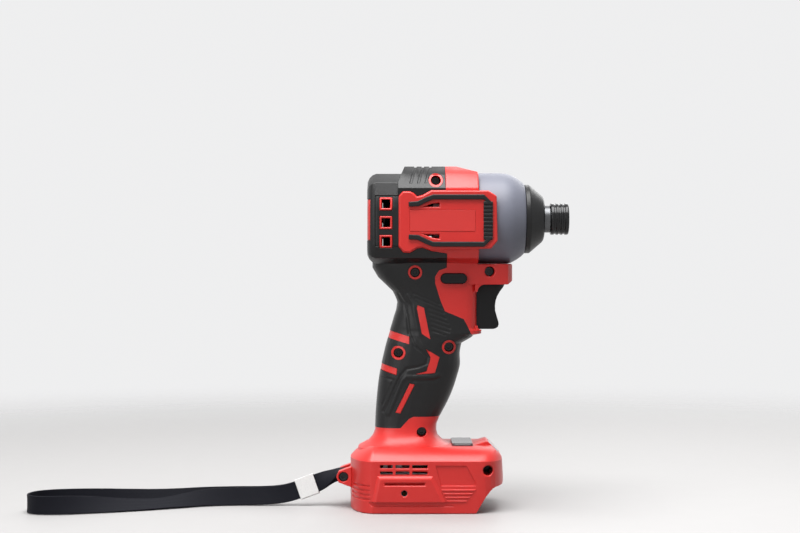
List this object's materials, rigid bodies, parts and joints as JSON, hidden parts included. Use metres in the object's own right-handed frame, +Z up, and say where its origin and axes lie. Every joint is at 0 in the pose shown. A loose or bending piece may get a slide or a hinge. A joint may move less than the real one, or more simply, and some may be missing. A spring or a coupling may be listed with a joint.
{
  "type": "cordless impact screwdriver",
  "caption": "Pistol-grip cordless impact screwdriver without battery: hammer case, quick-release hex chuck, soft-grip clamshell, battery-rail foot and wrist strap.",
  "frame": {"origin": "on the standing surface, under the middle of the tool between the strap lug and the end of the bit sleeve", "axes": "+X out of the nose along the drive axis, +Y to the tool's left, +Z up"},
  "size_m": [0.3287, 0.077, 0.2095],
  "materials": {
    "red_plastic": "satin moulded plastic",
    "black_rubber": "soft matt overmould",
    "black_plastic": "fine moulded texture",
    "label_film": "bare satin film",
    "grey_cover": "satin grey moulded plastic",
    "case_alloy": "cast and machined",
    "steel": "ground steel",
    "dark_steel": "oiled dark steel",
    "black_steel": "black oxide",
    "bronze": "sintered bronze",
    "copper": "enamelled wire",
    "board_green": "solder mask",
    "panel_grey": "grey translucent panel",
    "lens_clear": "frosted lens",
    "webbing": "woven webbing",
    "keeper_white": "woven band",
    "wire_red": "wire insulation"
  },
  "bodies": {
    "housing": {"housing_left": "red_plastic", "housing_right": "red_plastic", "grip_skin_left": "black_rubber", "grip_skin_right": "black_rubber", "side_trim_left": "black_rubber", "side_trim_right": "black_rubber", "rating_label_left": "label_film", "rating_label_right": "label_film", "hammer_case": "case_alloy", "case_cover": "grey_cover", "nose_bumper": "black_rubber", "nose_bush": "bronze", "ring_gear": "dark_steel", "gear_plate": "case_alloy", "carrier_bearing": "steel", "stator_core": "dark_steel", "stator_coils": "copper", "sensor_board": "board_green", "front_bearing": "steel", "rear_bearing": "steel", "trigger_spring": "steel", "switch_body": "black_plastic", "control_tray": "case_alloy", "control_board": "board_green", "terminal_block": "black_plastic", "terminal_blades": "bronze", "mode_panel": "panel_grey", "lamp_lens": "lens_clear", "lamp_board": "board_green", "hook_inserts": "bronze", "wire_loom": "wire_red", "housing_screws": "black_steel", "wrist_strap": "webbing", "strap_keeper": "keeper_white"},
    "rotor": {"rotor_shaft": "steel", "rotor_core": "dark_steel", "rotor_magnets": "dark_steel", "cooling_fan": "black_plastic", "sun_pinion": "steel"},
    "spindle": {"spindle": "dark_steel", "planet_pins": "steel", "cam_balls": "steel", "hammer_spring": "steel"},
    "planet_1": {"planet_gear_1": "dark_steel"},
    "planet_2": {"planet_gear_2": "dark_steel"},
    "planet_3": {"planet_gear_3": "dark_steel"},
    "hammer": {"hammer": "dark_steel"},
    "anvil": {"anvil": "steel", "sleeve_ring": "steel", "bit_balls": "steel", "sleeve_spring": "steel"},
    "sleeve": {"bit_sleeve": "black_steel"},
    "trigger": {"trigger": "black_plastic"},
    "lever": {"direction_lever": "black_plastic"}
  },
  "joints": [
    {"name": "spindle_spin", "type": "hinge", "parent": "housing", "child": "spindle", "pos_m": [0, 0, 0.1775], "axis": [1, 0, 0], "continuous": true},
    {"name": "rotor_spin", "type": "hinge", "parent": "housing", "child": "rotor", "pos_m": [0, 0, 0.1775], "axis": [1, 0, 0], "continuous": true},
    {"name": "anvil_spin", "type": "hinge", "parent": "housing", "child": "anvil", "pos_m": [0, 0, 0.1775], "axis": [1, 0, 0], "continuous": true},
    {"name": "planet_1_spin", "type": "hinge", "parent": "spindle", "child": "planet_1", "pos_m": [0, 0.0117, 0.1775], "axis": [1, 0, 0], "continuous": true},
    {"name": "planet_2_spin", "type": "hinge", "parent": "spindle", "child": "planet_2", "pos_m": [0, -0.00585, 0.18763], "axis": [1, 0, 0], "continuous": true},
    {"name": "planet_3_spin", "type": "hinge", "parent": "spindle", "child": "planet_3", "pos_m": [0, -0.00585, 0.16737], "axis": [1, 0, 0], "continuous": true},
    {"name": "hammer_retreat", "type": "slide", "parent": "spindle", "child": "hammer", "axis": [-1, 0, 0], "range_m": [0, 0.007], "stiffness_N_per_m": 4000, "springref_m": -0.012, "deforming": ["hammer_spring"]},
    {"name": "sleeve_slide", "type": "slide", "parent": "anvil", "child": "sleeve", "axis": [1, 0, 0], "range_m": [0, 0.004], "stiffness_N_per_m": 700, "springref_m": -0.004, "deforming": ["sleeve_spring"]},
    {"name": "trigger_slide", "type": "slide", "parent": "housing", "child": "trigger", "axis": [-1, 0, 0], "range_m": [0, 0.007], "stiffness_N_per_m": 500, "springref_m": -0.004, "deforming": ["trigger_spring"]},
    {"name": "lever_slide", "type": "slide", "parent": "housing", "child": "lever", "axis": [0, 1, 0], "range_m": [-0.003, 0.003]}
  ],
  "couplings": [
    {"joint": "rotor_spin", "follows": "spindle_spin", "ratio": 6},
    {"joint": "anvil_spin", "follows": "spindle_spin", "ratio": 1},
    {"joint": "planet_1_spin", "follows": "spindle_spin", "ratio": -2.5},
    {"joint": "planet_2_spin", "follows": "spindle_spin", "ratio": -2.5},
    {"joint": "planet_3_spin", "follows": "spindle_spin", "ratio": -2.5}
  ]
}
